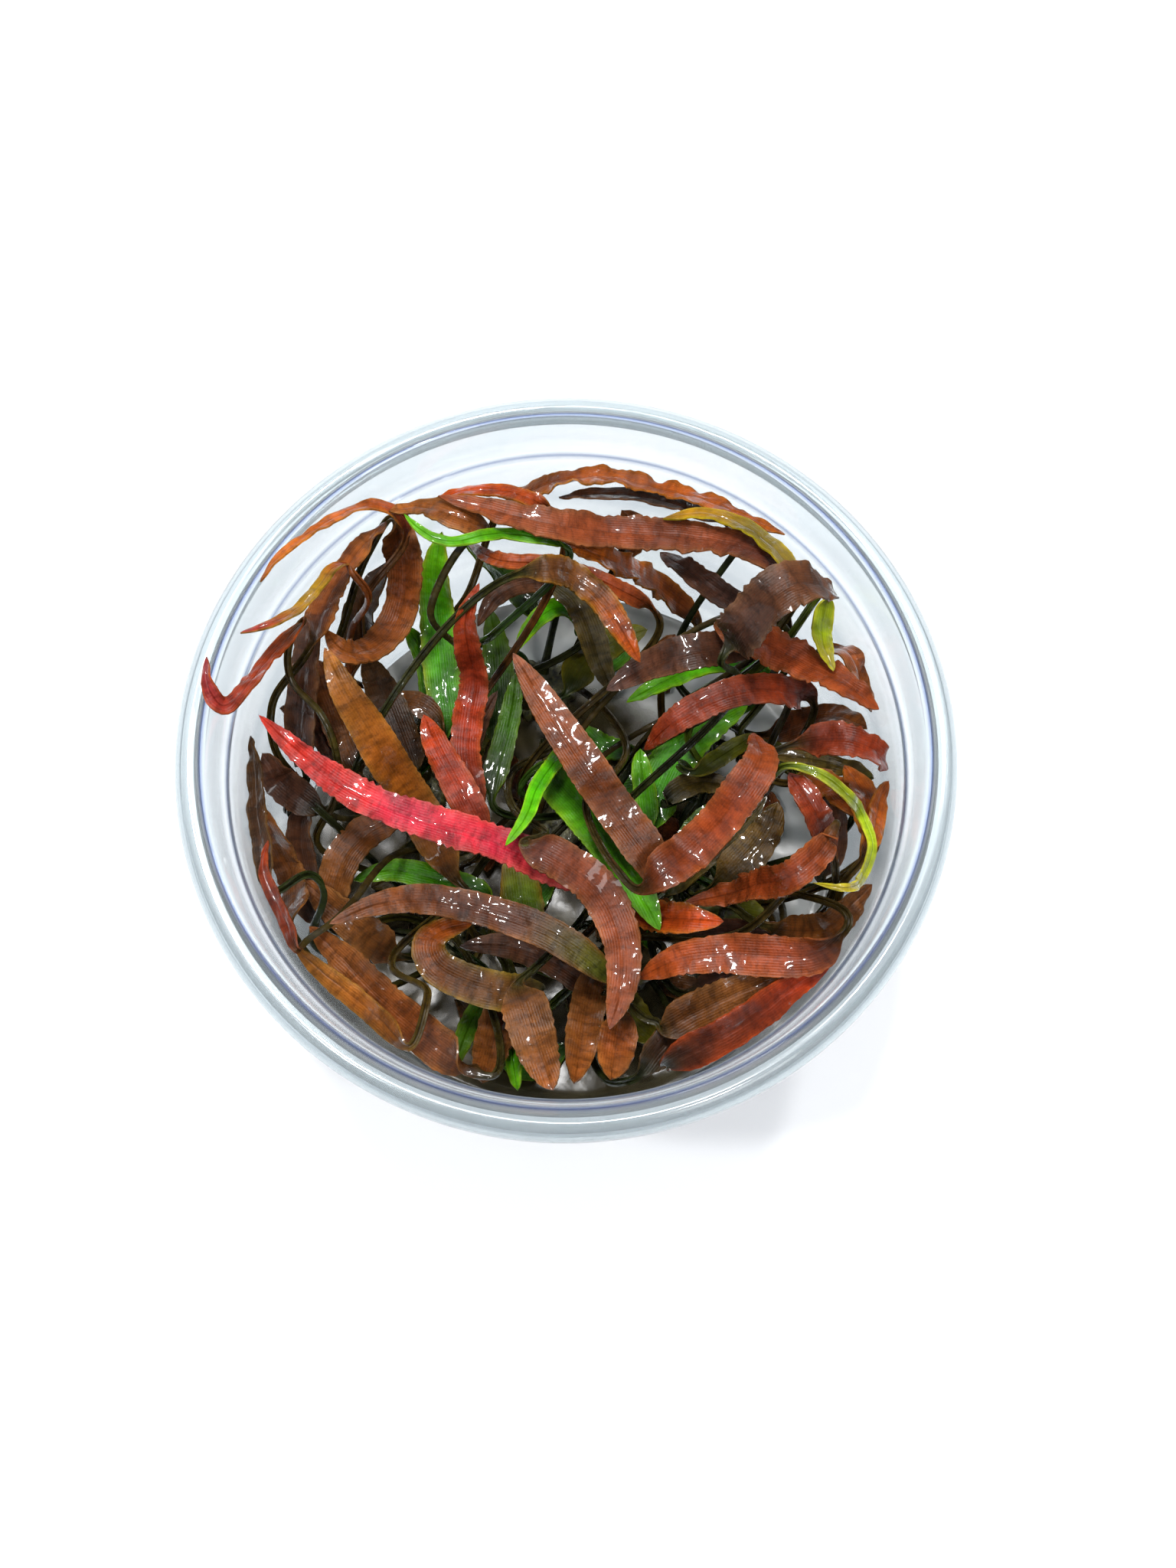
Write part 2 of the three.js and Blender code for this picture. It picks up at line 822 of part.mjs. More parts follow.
function slotsOn({ count, radius, height, apart }) {
  return crowns.flatMap((crown, owner) =>
    Array.from({ length: count }, (_, k) => {
      const angle = (2 * Math.PI * (k + 0.5 * (owner % 2))) / count;
      const outward = new THREE.Vector3(Math.cos(angle), Math.sin(angle), 0);
      const foot = new THREE.Vector3(crown.x, crown.y, height).addScaledVector(outward, radius);
      const knee = foot.clone().addScaledVector(outward, 0.3).setZ(crownTop + 2.8);
      return { owner, foot, knee, apart, taken: false };
    }),
  );
}

// Filled space on a grid of small cubes, grown by the room that a stalk's middle line needs
const cube = 0.5;
const grid = { across: 200, layers: 88, low: gelTop + 1.5 };
const lowestWay = crownTop + 1.6;
const highestClimb = 1.5;
const filled = new Uint8Array(grid.across * grid.across * grid.layers);
const room = stalkHalf + clearance + 0.9 * cube;
const roomCubes = Math.ceil(room / cube);
const ball = [];
for (let c = -roomCubes; c <= roomCubes; c++)
  for (let b = -roomCubes; b <= roomCubes; b++)
    for (let a = -roomCubes; a <= roomCubes; a++)
      if (Math.hypot(a, b, c) * cube <= room) ball.push([a, b, c]);

function cubeOf({ x, y, z }) {
  const half = (grid.across * cube) / 2;
  return [(x + half) / cube, (y + half) / cube, (z - grid.low) / cube].map(Math.floor);
}

function middleOf([a, b, c]) {
  const half = (grid.across * cube) / 2;
  return new THREE.Vector3((a + 0.5) * cube - half, (b + 0.5) * cube - half, (c + 0.5) * cube + grid.low);
}

function indexOf([a, b, c]) {
  const beyond = Math.min(a, b, c) < 0 || Math.max(a, b) >= grid.across || c >= grid.layers;
  return beyond ? -1 : (c * grid.across + b) * grid.across + a;
}

function fillAround(point) {
  const [a, b, c] = cubeOf(point);
  for (const [i, j, k] of ball) {
    const at = indexOf([a + i, b + j, c + k]);
    if (at >= 0) filled[at] = 1;
  }
}

function isFree(cubeIndices) {
  const at = indexOf(cubeIndices);
  if (at < 0 || filled[at]) return false;
  const { x, y, z } = middleOf(cubeIndices);
  return z > lowestWay && Math.hypot(x, y) < wallRadius(Math.min(z, ledgeHeight)) - 1.7;
}

// Points at short steps along straight runs
function alongRuns(corners) {
  const step = 0.4;
  const points = [];
  for (let k = 0; k + 1 < corners.length; k++) {
    const steps = Math.ceil(corners[k].distanceTo(corners[k + 1]) / step);
    for (let m = 0; m < steps; m++) points.push(corners[k].clone().lerp(corners[k + 1], m / steps));
  }
  points.push(corners.at(-1));
  return points;
}

function isOpenRun(from, to) {
  return alongRuns([from, to]).every((point) => isFree(cubeOf(point)));
}

function isUnfilled(corners) {
  return alongRuns(corners).every((point) => !filled[indexOf(cubeOf(point))]);
}

// The free lattice cube nearest to a point, on every second cube
function latticeNear(point) {
  const [a, b, c] = cubeOf(point).map((n) => n - (n % 2));
  let best = null;
  for (let k = -4; k <= 4; k += 2)
    for (let j = -4; j <= 4; j += 2)
      for (let i = -4; i <= 4; i += 2) {
        const candidate = [a + i, b + j, c + k];
        if (!isFree(candidate)) continue;
        const distance = middleOf(candidate).distanceTo(point);
        if (!best || distance < best.distance) best = { candidate, distance };
      }
  return best && best.distance < 2.2 ? best.candidate : null;
}

// The shortest way for a stalk from the blade's foot through free space to a free slot, found
// by spreading out over the lattice and then pulled straight. Returns its corners, slot first.
function findStalk(foot, slots) {
  const start = latticeNear(foot);
  if (!start) return null;
  const ceiling = start[2] + highestClimb / cube;
  const goals = new Map();
  for (const slot of slots) {
    const near = slot.taken ? null : latticeNear(slot.knee);
    if (near && (!slot.apart || isUnfilled([slot.foot, slot.knee, middleOf(near)])))
      goals.set(indexOf(near), slot);
  }
  const cameFrom = new Map([[indexOf(start), null]]);
  let front = [start];
  while (front.length) {
    const next = [];
    for (const here of front) {
      const slot = goals.get(indexOf(here));
      if (slot) {
        slot.taken = true;
        return { owner: slot.owner, corners: pulledStraight(here, cameFrom, foot, slot) };
      }
      for (let k = -2; k <= 2; k += 2)
        for (let j = -2; j <= 2; j += 2)
          for (let i = -2; i <= 2; i += 2) {
            const there = [here[0] + i, here[1] + j, here[2] + k];
            const at = indexOf(there);
            if (there[2] > ceiling || cameFrom.has(at) || !isFree(there)) continue;
            if (!isFree([here[0] + i / 2, here[1] + j / 2, here[2] + k / 2])) continue;
            cameFrom.set(at, here);
            next.push(there);
          }
    }
    front = next;
  }
  return null;
}

function pulledStraight(end, cameFrom, foot, slot) {
  const way = [];
  for (let at = end; at; at = cameFrom.get(indexOf(at))) way.push(middleOf(at));
  const corners = [slot.foot, slot.knee];
  let from = 0;
  while (from < way.length - 1) {
    let to = way.length - 1;
    while (to > from + 1 && !isOpenRun(way[from], way[to])) to--;
    corners.push(way[to]);
    from = to;
  }
  const last = corners.at(-1);
  const nearFoot = foot.clone().lerp(corners.at(-2), 0.25);
  if (last.distanceTo(foot) < 2.5 && isOpenRun(corners.at(-2), nearFoot)) corners.pop();
  return corners;
}

// A closed solid through the stations' corners, with a flat foot and a pointed tip
function leafGeometry(stations) {
  const rings = stations.slice(0, -1).map(({ left, top, right, under }) => [left, top, right, under]);
  const points = [...rings.flat(), stations.at(-1).centre];
  const faces = [];
  for (let k = 0; k + 1 < rings.length; k++)
    for (let m = 0; m < 4; m++) {
      const a = 4 * k + m;
      const b = 4 * k + ((m + 1) % 4);
      faces.push(a, b, b + 4, a, b + 4, a + 4);
    }
  const last = 4 * (rings.length - 1);
  for (let m = 0; m < 4; m++) faces.push(last + m, last + ((m + 1) % 4), points.length - 1);
  faces.push(0, 2, 1, 0, 3, 2);
  return new THREE.BufferGeometry().setFromPoints(points).setIndex(faces);
}

// One leaf: its settled blade and its stalk, with the number of the rootstock that it grows from
function growLeaf(name, spec, slots) {
  const blade = bladeStations(spec);
  if (!settle(blade, spec.overRim)) throw new Error(name + " does not settle");
  const foot = blade[0].centre;
  overSurface(blade, "under", (x, y, z) => {
    const point = new THREE.Vector3(x, y, z);
    if (point.distanceTo(foot) > 4.5) fillAround(point);
  });
  const way = findStalk(foot, slots);
  if (!way) throw new Error(name + " finds no way down");
  const stalk = way.corners.map((centre) => ({
    centre: centre.clone(),
    half: stalkHalf,
    thickness: stalkThickness,
    stalk: true,
  }));
  const stations = [...stalk, ...blade];
  shapeStations(stations);
  overSurface(stations, "top", (x, y, z) => {
    if (z > bladeFloor) raiseTop(x, y, z);
    fillAround({ x, y, z });
  });
  return { name, owner: way.owner, geometry: leafGeometry(stations) };
}

const heart = slotsOn(heartSlots);
const edge = slotsOn(outerSlots);
const young = youngLeaves.map((spec, k) => growLeaf("young_" + k, spec, heart));
const long = Object.entries(longLeaves).map(([key, spec]) => growLeaf("leaf_" + key, spec, edge));

// A low leaf: it starts inside the rootstock's side and bends a little as it goes out
function lowLeaf([owner, direction, length]) {
  const start = THREE.MathUtils.degToRad(direction);
  const turn = owner % 2 ? lowTurn : -lowTurn;
  const stations = lowStations.map(([along, wide]) => {
    const angle = start + turn * Math.max(along, 0) ** 2;
    const distance = crownRadius + length * along;
    const x = crowns[owner].x + distance * Math.cos(angle);
    const y = crowns[owner].y + distance * Math.sin(angle);
    const centre = new THREE.Vector3(x, y, lowHeight + lowRise * along ** 2);
    return { centre, half: (lowWidth / 2) * wide, thickness: bladeThickness };
  });
  shapeStations(stations);
  return leafGeometry(stations);
}

// Solids of revolution, and joining and cutting them
function turned(profile, sides) {
  const points = profile.map(([r, z]) => new THREE.Vector2(r, z));
  return new THREE.LatheGeometry(points, sides).rotateX(Math.PI / 2);
}

function solid(geometry) {
  const bare = geometry.index ? geometry.toNonIndexed() : geometry.clone();
  bare.deleteAttribute("normal");
  bare.deleteAttribute("uv");
  const merged = mergeVertices(bare, 1e-4);
  const vertProperties = merged.attributes.position.array;
  const triVerts = new Uint32Array(merged.index.array);
  return new wasm.Manifold(new wasm.Mesh({ numProp: 3, vertProperties, triVerts }));
}

function geometryOf(manifold) {
  const { vertProperties, triVerts } = manifold.getMesh();
  const geometry = new THREE.BufferGeometry();
  geometry.setAttribute("position", new THREE.BufferAttribute(vertProperties, 3));
  geometry.setIndex(new THREE.BufferAttribute(triVerts, 1));
  return geometry;
}

const part = new THREE.Group();

function addNode(name, geometry, color, roughness) {
  const material = new THREE.MeshStandardMaterial({ color, roughness, metalness: 0 });
  const mesh = new THREE.Mesh(geometry, material);
  mesh.name = name;
  part.add(mesh);
}

// The cup: flat foot, tapered wall, stepped rim with fine rings and a turned-down lip
const outerWall = (z) => wallRadius(z) + wallThickness;
const cupProfile = [
  [0, 0],
  [floorRadius - 0.6, 0],
  [outerWall(1.2), 1.2],
  [outerWall(ledgeHeight - 2), ledgeHeight - 2],
  [ledgeRadius + 1.8, ledgeHeight - 0.4],
  [46.7, cupHeight - 2.6],
  [48.8, cupHeight - 2.6],
  [49.2, cupHeight - 4.2],
  [lipRadius - 0.1, cupHeight - 4.2],
  ...rimTop.toReversed(),
  [wallRadius(floorHeight + 1.2), floorHeight + 1.2],
  [floorRadius - 1.2, floorHeight],
  [0, floorHeight],
];
addNode("cup", turned(cupProfile, cupSides), 0xdfe6e8, 0.35);

// The gel: a disc that stops just short of the wall, with a pocket round each rootstock
const gelProfile = [
  [0, floorHeight + gelGap],
  [floorRadius - 1.6, floorHeight + gelGap],
  [wallRadius(floorHeight + 1.8) - gelGap - 0.15, floorHeight + 1.8],
  [wallRadius(gelTop) - gelGap - 0.15, gelTop + 0.5],
  [wallRadius(gelTop) - 1.8, gelTop],
  [0, gelTop],
];
const crownProfile = [
  [0, gelTop - rootDepth],
  [1.7, gelTop - rootDepth + 1.6],
  [3.2, gelTop - 3.4],
  [crownRadius, gelTop - 0.6],
  [crownRadius, gelTop + 1.4],
  [crownRadius - 0.6, crownTop],
  [0, crownTop],
];
const pocketProfile = [
  [0, gelTop - rootDepth - gelGap],
  [1.7 + gelGap, gelTop - rootDepth + 1.5],
  [3.2 + gelGap, gelTop - 3.4],
  [crownRadius + gelGap, gelTop - 0.6],
  [crownRadius + gelGap, gelTop + 3],
  [0, gelTop + 3],
];
let gel = solid(turned(gelProfile, cupSides));
const pocket = turned(pocketProfile, crownSides);
for (const { x, y } of crowns) gel = gel.subtract(solid(pocket.clone().translate(x, y, 0)));
addNode("gel", geometryOf(gel), 0xe9ebe0, 0.1);

// The rootstocks with their young leaves and their low leaves
crowns.forEach(({ x, y }, owner) => {
  let crown = solid(turned(crownProfile, crownSides).translate(x, y, 0));
  for (const leaf of young) if (leaf.owner === owner) crown = crown.add(solid(leaf.geometry));
  for (const leaf of lowLeaves) if (leaf[0] === owner) crown = crown.add(solid(lowLeaf(leaf)));
  addNode("crown_" + (owner + 1), geometryOf(crown), tints.green, 0.4);
});

// The long leaves
for (const { name, geometry } of long) {
  addNode(name, geometry, tints[longLeaves[name.slice(5)].tint], 0.35);
}

export default part;
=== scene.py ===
# A culture cup of cryptocoryne spiralis: an open round cup of translucent plastic with clear gel in
# it, seven rootstocks set in the gel, and a wreath of long narrow ruffled leaves above them.
import math

import bmesh
import bpy
import numpy as np
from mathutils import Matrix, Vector


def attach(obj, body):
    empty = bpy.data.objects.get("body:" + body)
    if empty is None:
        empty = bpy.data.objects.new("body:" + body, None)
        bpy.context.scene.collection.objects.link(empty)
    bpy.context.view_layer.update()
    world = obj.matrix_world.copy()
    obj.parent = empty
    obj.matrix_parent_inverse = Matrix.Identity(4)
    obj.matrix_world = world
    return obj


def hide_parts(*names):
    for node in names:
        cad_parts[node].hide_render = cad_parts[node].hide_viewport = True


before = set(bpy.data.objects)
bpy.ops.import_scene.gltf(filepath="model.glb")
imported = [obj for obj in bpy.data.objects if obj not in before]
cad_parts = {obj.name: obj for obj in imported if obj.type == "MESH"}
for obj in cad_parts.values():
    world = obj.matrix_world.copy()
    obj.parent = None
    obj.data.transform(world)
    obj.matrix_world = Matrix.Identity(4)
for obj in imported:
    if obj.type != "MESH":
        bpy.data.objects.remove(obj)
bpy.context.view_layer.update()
scene = bpy.context.scene
scene.view_settings.view_transform = "Standard"

# Camera
# It looks steeply down into the cup from the front, from the place that was fitted to the rings of
# the rim in the photograph.
elevation = math.radians(72.46)
distance = 0.2502
focal_length_px, picture_height_px = 2600, 2048
camera_data = bpy.data.cameras.new("camera")
camera_data.sensor_fit = "VERTICAL"
camera_data.sensor_height = 36
camera_data.lens = camera_data.sensor_height * focal_length_px / picture_height_px
camera = bpy.data.objects.new("camera", camera_data)
scene.collection.objects.link(camera)
aim = Vector((0.00278, -0.00553, 0.065))
camera.location = aim + distance * Vector((0, -math.cos(elevation), math.sin(elevation)))
camera.rotation_euler = (math.radians(90) - elevation, 0, 0)
scene.camera = camera

# Table and light
# The cup stands on a plain white table under two soft lamps. Five small lamps give the short sharp
# glints on the wet leaves.
bpy.ops.object.select_all(action="DESELECT")
bpy.ops.mesh.primitive_plane_add(size=4, location=(0, 0, 0))
table = bpy.context.object
table.name = "table"


def linear(colour):
    """An sRGB hex colour as the linear red, green and blue that shaders take."""
    channels = [int(colour[k : k + 2], 16) / 255 for k in (1, 3, 5)]
    return [c / 12.92 if c <= 0.04045 else ((c + 0.055) / 1.055) ** 2.4 for c in channels]


def new_material(name):
    """A material with the standard surface, and its tree of shader nodes."""
    made = bpy.data.materials.new(name)
    made.use_nodes = True
    return made, made.node_tree


def give(tree, node, inputs):
    """Gives a shader node its inputs, as values or as links."""
    for socket, value in inputs.items():
        if isinstance(value, bpy.types.NodeSocket):
            tree.links.new(value, node.inputs[socket])
        else:
            node.inputs[socket].default_value = value


def give_surface(tree, inputs):
    """Gives the material's own surface its inputs, as values or as links."""
    give(tree, tree.nodes["Principled BSDF"], inputs)


# Matt white laminate, rolled: even and nearly shadowless
laminate, tree = new_material("matt white laminate")
give_surface(tree, {"Base Color": linear("#f4f5f6") + [1], "Roughness": 0.7})
table.data.materials.append(laminate)

world = bpy.data.worlds.new("studio")
world.use_nodes = True
sky = {"Color": linear("#f3f6ff") + [1], "Strength": 0.45}
give(world.node_tree, world.node_tree.nodes["Background"], sky)
scene.world = world

# Each lamp's name, place in metres, side in metres and power in watts
lamps = [
    ("ceiling softbox", (-0.12, 0.2, 0.9), 0.15, 6),
    ("front softbox", (0.35, -0.5, 0.6), 0.3, 1.6),
    ("small lamp left", (-0.12, 0.3, 0.6), 0.04, 1.3),
    ("small lamp right", (0.2, 0.22, 0.7), 0.04, 1.3),
    ("small lamp front left", (-0.22, -0.12, 0.62), 0.04, 1.3),
    ("small lamp front right", (0.16, -0.2, 0.66), 0.04, 1.3),
    ("small lamp above", (0.02, 0.1, 0.7), 0.04, 1.3),
]
cup_middle = Vector((0, 0, 0.05))
for lamp_name, lamp_place, side, power in lamps:
    lamp_data = bpy.data.lights.new(lamp_name, "AREA")
    lamp_data.size = side
    lamp_data.energy = power
    lamp = bpy.data.objects.new(lamp_name, lamp_data)
    lamp.location = lamp_place
    lamp.rotation_euler = (cup_middle - lamp.location).to_track_quat("-Z", "Y").to_euler()
    scene.collection.objects.link(lamp)

# Cup
# A round tapered cup of thin translucent polypropylene, moulded in one piece, with an inner ledge
# and a stepped rim of fine rings that a lid would snap over.
wall_thickness = 0.9
floor_radius, floor_height = 37.2, 1.8
taper, taper_height = 6.7, 55.3


def wall_radius(height):
    """The inside radius of the cup's wall at a height, in millimetres."""
    return floor_radius + taper * (height - floor_height) / taper_height


def turned(name, profile, sides):
    """A closed solid of revolution, as on a lathe, from radius and height in millimetres."""
    bpy.ops.object.select_all(action="DESELECT")
    radius, height = profile[0]
    bpy.ops.mesh.primitive_circle_add(
        vertices=sides, radius=radius / 1000, location=(0, 0, height / 1000)
    )
    made = bpy.context.object
    made.name = name
    bpy.ops.object.transform_apply(location=True, rotation=False, scale=False)
    bpy.ops.object.mode_set(mode="EDIT")
    for next_radius, next_height in profile[1:]:
        rise = (next_height - height) / 1000
        bpy.ops.mesh.extrude_region_move(TRANSFORM_OT_translate={"value": (0, 0, rise)})
        share = next_radius / radius
        bpy.ops.transform.resize(value=(share, share, 1), center_override=(0, 0, 0))
        radius, height = next_radius, next_height
    bpy.ops.mesh.select_all(action="SELECT")
    bpy.ops.mesh.fill_holes(sides=0)
    bpy.ops.mesh.normals_make_consistent(inside=False)
    bpy.ops.object.mode_set(mode="OBJECT")
    bpy.ops.object.shade_smooth_by_angle(angle=math.radians(40))
    return made


outer_wall = [(wall_radius(h) + wall_thickness, h) for h in np.linspace(2, 54.5, 22)]
inner_wall = [(wall_radius(h), h) for h in np.linspace(56.6, 3.4, 28)]

# From the foot up the outside, over the rim and down the ledge and the inside to the floor
cup_profile = [
    (0.4, 0.35), (33.6, 0.35), (34.3, 0.1), (35, 0), (36.4, 0), (37.2, 0.25), (37.8, 0.8),
    *outer_wall,
    (44.7, 55.4), (45.2, 56), (45.7, 56.7), (46, 58), (46.5, 61.6), (46.8, 62.3), (47.3, 62.5),
    (48.6, 62.5), (48.9, 62.2), (49.1, 61), (49.5, 60.8), (49.85, 61), (49.95, 62.4), (49.85, 63),
    (49.5, 63.45), (48.95, 64), (48.5, 64.35), (48, 64.5), (47.6, 64.42), (47.2, 64.25),
    (46.9, 64.5), (46.6, 64.9), (46.3, 65), (46, 64.85), (45.75, 64.3), (45.5, 63), (45.2, 61),
    (44.95, 59.2), (44.8, 58.1), (44.5, 57.6), (44.15, 57.3), (43.9, 57.1), *inner_wall,
    (36.9, 2.5), (36.2, 2), (35.4, 1.8), (20, 1.7), (0.4, 1.7),
]
cup = turned("cup_shell", cup_profile, 224)


def add(tree, kind, settings, inputs):
    """Adds a shader node with its settings and inputs."""
    made = tree.nodes.new("ShaderNode" + kind)
    for name, value in settings.items():
        setattr(made, name, value)
    give(tree, made, inputs)
    return made


def object_place(tree):
    """Where a point is on its piece, in metres."""
    return add(tree, "TexCoord", {}, {}).outputs["Object"]


def maths(tree, operation, *values):
    """One step of arithmetic on numbers."""
    return add(tree, "Math", {"operation": operation}, dict(enumerate(values))).outputs[0]


def length(tree, vector):
    """The length of a vector."""
    return add(tree, "VectorMath", {"operation": "LENGTH"}, {0: vector}).outputs["Value"]


def spread(tree, value, low, high, at_low, at_high, blend="LINEAR"):
    """Runs from at_low to at_high while the value runs from low to high."""
    inputs = dict(enumerate((value, low, high, at_low, at_high)))
    return add(tree, "MapRange", {"interpolation_type": blend}, inputs).outputs[0]


def noise(tree, place, scale, detail, roughness=0.5):
    """Soft random clouds, each about 1 / scale across."""
    inputs = {"Vector": place, "Scale": scale, "Detail": detail, "Roughness": roughness}
    return add(tree, "TexNoise", {}, inputs).outputs[0]


def ramp(tree, value, low, low_colour, high, high_colour):
    """Runs from one linear colour to another while the value runs from low to high."""
    made = add(tree, "ValToRGB", {}, {0: value})
    first, last = made.color_ramp.elements
    first.position, first.color = low, (*low_colour, 1)
    last.position, last.color = high, (*high_colour, 1)
    return made.outputs[0]


def mix(tree, share, first, second, blend="MIX"):
    """Mixes the first colour with the second, an sRGB hex colour, by a share."""
    settings = {"data_type": "RGBA", "blend_type": blend}
    inputs = {0: share, 6: first, 7: linear(second) + [1]}
    return add(tree, "Mix", settings, inputs).outputs[2]


def relief(tree, height, depth, strength):
    """Small bumps and hollows of a depth in metres."""
    inputs = {"Height": height, "Distance": depth, "Strength": strength}
    return add(tree, "Bump", {}, inputs).outputs[0]


# Polypropylene, injection moulded: milky and see-through at once, with a smooth waxy shine. It
# is greyer in the thick rim, painted blue reflections lie along the crest and along the ledge's
# edge, and faint streaks of flow run round.
polypropylene, tree = new_material("translucent polypropylene")
place = object_place(tree)
split = add(tree, "SeparateXYZ", {}, {0: place})
flat_place = add(tree, "CombineXYZ", {}, {0: split.outputs[0], 1: split.outputs[1]})
radius = length(tree, flat_place.outputs[0])


def ring(radius_mm, reach_mm, lowest_mm):
    """1 on a thin ring of the cup and 0 away from it."""
    away = maths(tree, "ABSOLUTE", maths(tree, "SUBTRACT", radius, radius_mm / 1000))
    near = spread(tree, away, 0, reach_mm / 1000, 1, 0)
    above = maths(tree, "GREATER_THAN", split.outputs[2], lowest_mm / 1000)
    return maths(tree, "MULTIPLY", near, above)


flow_place = add(tree, "CombineXYZ", {}, {0: radius, 1: split.outputs[2]})
flow = noise(tree, flow_place.outputs[0], 260, 1)
milk = ramp(tree, flow, 0.35, linear("#ccd3d7"), 0.65, linear("#dde2e4"))
in_rim = spread(tree, radius, 0.0455, 0.0468, 0, 1)
rim_milk = mix(tree, in_rim, milk, "#d6dcdd", "MULTIPLY")
# Painted reflection: a blue line along the crest, and another along the ledge's edge
with_crest_reflection = mix(tree, ring(46.3, 0.42, 64.3), rim_milk, "#5668a0")
with_ledge_reflection = mix(tree, ring(44.15, 0.4, 56.6), with_crest_reflection, "#5c6a8a")
ripple = noise(tree, place, 60, 1)
give_surface(tree, {
    "Base Color": with_ledge_reflection,
    "Transmission Weight": 0.82,
    "IOR": 1.49,
    "Roughness": spread(tree, ripple, 0.35, 0.65, 0.08, 0.16),
    "Normal": relief(tree, ripple, 0.0002, 0.3),
})
cup.data.materials.append(polypropylene)
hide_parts("cup")
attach(cup, "root")

# Gel
# A disc of clear culture gel cast in the bottom of the cup. It creeps up the wall a little, and
# its wet top is not quite level.
gel_top = 19
wall_gap = 0.32
top_radius = wall_radius(gel_top)
gel_profile = [
    (0.4, 2.1), (35.2, 2.1), (36.3, 2.6), (wall_radius(3.6) - wall_gap, 3.6),
    *[(wall_radius(h) - wall_gap, h) for h in np.linspace(6, 19.4, 8)],
    (top_radius - 0.7, 19.45), (top_radius - 1.4, 19.15), (top_radius - 2.6, gel_top),
    *[(r, gel_top) for r in np.linspace(35, 1, 18)],
]
gel = turned("gel_disc", gel_profile, 128)
for vertex in gel.data.vertices:
    x, y, z = vertex.co
    if z > 0.0188 and math.hypot(x, y) < 0.0362:
        swell = math.sin(x * 330 + 1) * math.cos(y * 290)
        vertex.co.z += 0.00022 * swell + 0.00012 * math.sin(y * 700 + x * 240)

# Gellan gel, cast: water held by a little gum, so it bends light like water. It is slightly cloudy
# and wet on top. Painted shade darkens it to olive-brown round the rootstocks in the middle.
gellan, tree = new_material("clear gellan gel")
place = object_place(tree)
cloud = noise(tree, place, 140, 3)
# Painted shade: olive-brown on the gel within about 4 cm of this point, under the leaves
painted_shade_middle = (-0.006, -0.01, 0)
from_middle = add(tree, "VectorMath", {"operation": "SUBTRACT"}, {0: place, 1: painted_shade_middle})
away = length(tree, from_middle.outputs[0])
clear = spread(tree, away, 0.033, 0.045, 0, 1, "SMOOTHSTEP")
uneven = maths(tree, "MULTIPLY_ADD", cloud, 0.9, -0.45)
unshaded_share = maths(tree, "ADD", clear, uneven)
dimples = noise(tree, place, 420, 2)
give_surface(tree, {
    # Painted olive-brown shade in the middle, and the gel's own near white outside it
    "Base Color": ramp(tree, unshaded_share, 0.3, linear("#665b3c"), 0.75, linear("#f8f9f5")),
    "Transmission Weight": 0.7,
    "IOR": 1.34,
    "Roughness": 0.2,
    "Normal": relief(tree, dimples, 0.0002, 0.2),
})
gel.data.materials.append(gellan)
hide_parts("gel")
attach(gel, "root")

# Leaf making
# A leaf is one strip of living tissue: a channelled stalk that opens into a narrow blade with a
# midrib and ruffled margins. Each is laid along the frame's own leaf, which gives its middle
# line, its width and which side is up.
thickest_blade = 0.00085
stalk_radius = 0.00042
leaf_thickness = 0.00026


def frame_mesh(node_name):
    """The frame node's mesh with its loose triangles joined, to be read and freed."""
    joined = bmesh.new()
    joined.from_mesh(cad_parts[node_name].data)
    bmesh.ops.remove_doubles(joined, verts=joined.verts, dist=0.000005)
    return joined


def neighbours(vertex):
    return [edge.other_vert(vertex) for edge in vertex.link_edges]


def rings_to(tip):
    """The frame leaf's rings of four corners from its foot to its tip: left, top, right, under."""
    ring = neighbours(tip)
    if len(ring) != 4:
        return []
    near = neighbours(ring[0])
    second = next(v for v in near if v in ring)
    last = next(v for v in ring if v not in (ring[0], second) and v in near)
    third = next(v for v in ring if v not in (ring[0], second, last))
    ring = [ring[0], second, third, last]
    middle = sum((v.co for v in ring), Vector()) / 4
    turn = (ring[0].co - middle).cross(ring[1].co - middle)
    if turn.dot(tip.co - middle) < 0:
        ring.reverse()
    rings = [ring]
    seen = {tip, *ring}
    while True:
        found = {}
        for vertex in {v for corner in ring for v in neighbours(corner)} - seen:
            near = neighbours(vertex)
            links = [m for m in range(4) if ring[m] in near]
            corner = next((m for m in links if (m + 1) % 4 in links), None)
            if len(links) != 2 or corner is None or corner in found:
                return turned_up(rings)
            found[corner] = vertex
        if len(found) != 4:
            return turned_up(rings)
        ring = [found[m] for m in range(4)]
        rings.append(ring)
        seen.update(ring)


def turned_up(rings):
    """The same rings from the foot on, each starting at its left margin with its top side next."""
    corners = np.array([[v.co for v in ring] for ring in reversed(rings)])
    spans = np.linalg.norm(corners[:, :2] - corners[:, 2:], axis=2)
    widest = spans.max(axis=1).argmax()
    left = int(spans[widest].argmax())
    if corners[widest, left + 1, 2] < corners[widest, (left + 3) % 4, 2]:
        left += 2
    return np.roll(corners, -left, axis=1)


def through(values, places, at):
    """Values at the places `at` on a smooth curve through the given values."""
    slopes = np.gradient(values, places, axis=0)
    k = np.clip(np.searchsorted(places, at) - 1, 0, len(places) - 2)
    span = (places[k + 1] - places[k])[:, None]
    t = (at[:, None] - places[k][:, None]) / span
    early = (2 * t**3 - 3 * t**2 + 1) * values[k] + (t**3 - 2 * t**2 + t) * span * slopes[k]
    late = (3 * t**2 - 2 * t**3) * values[k + 1] + (t**3 - t**2) * span * slopes[k + 1]
    return early + late


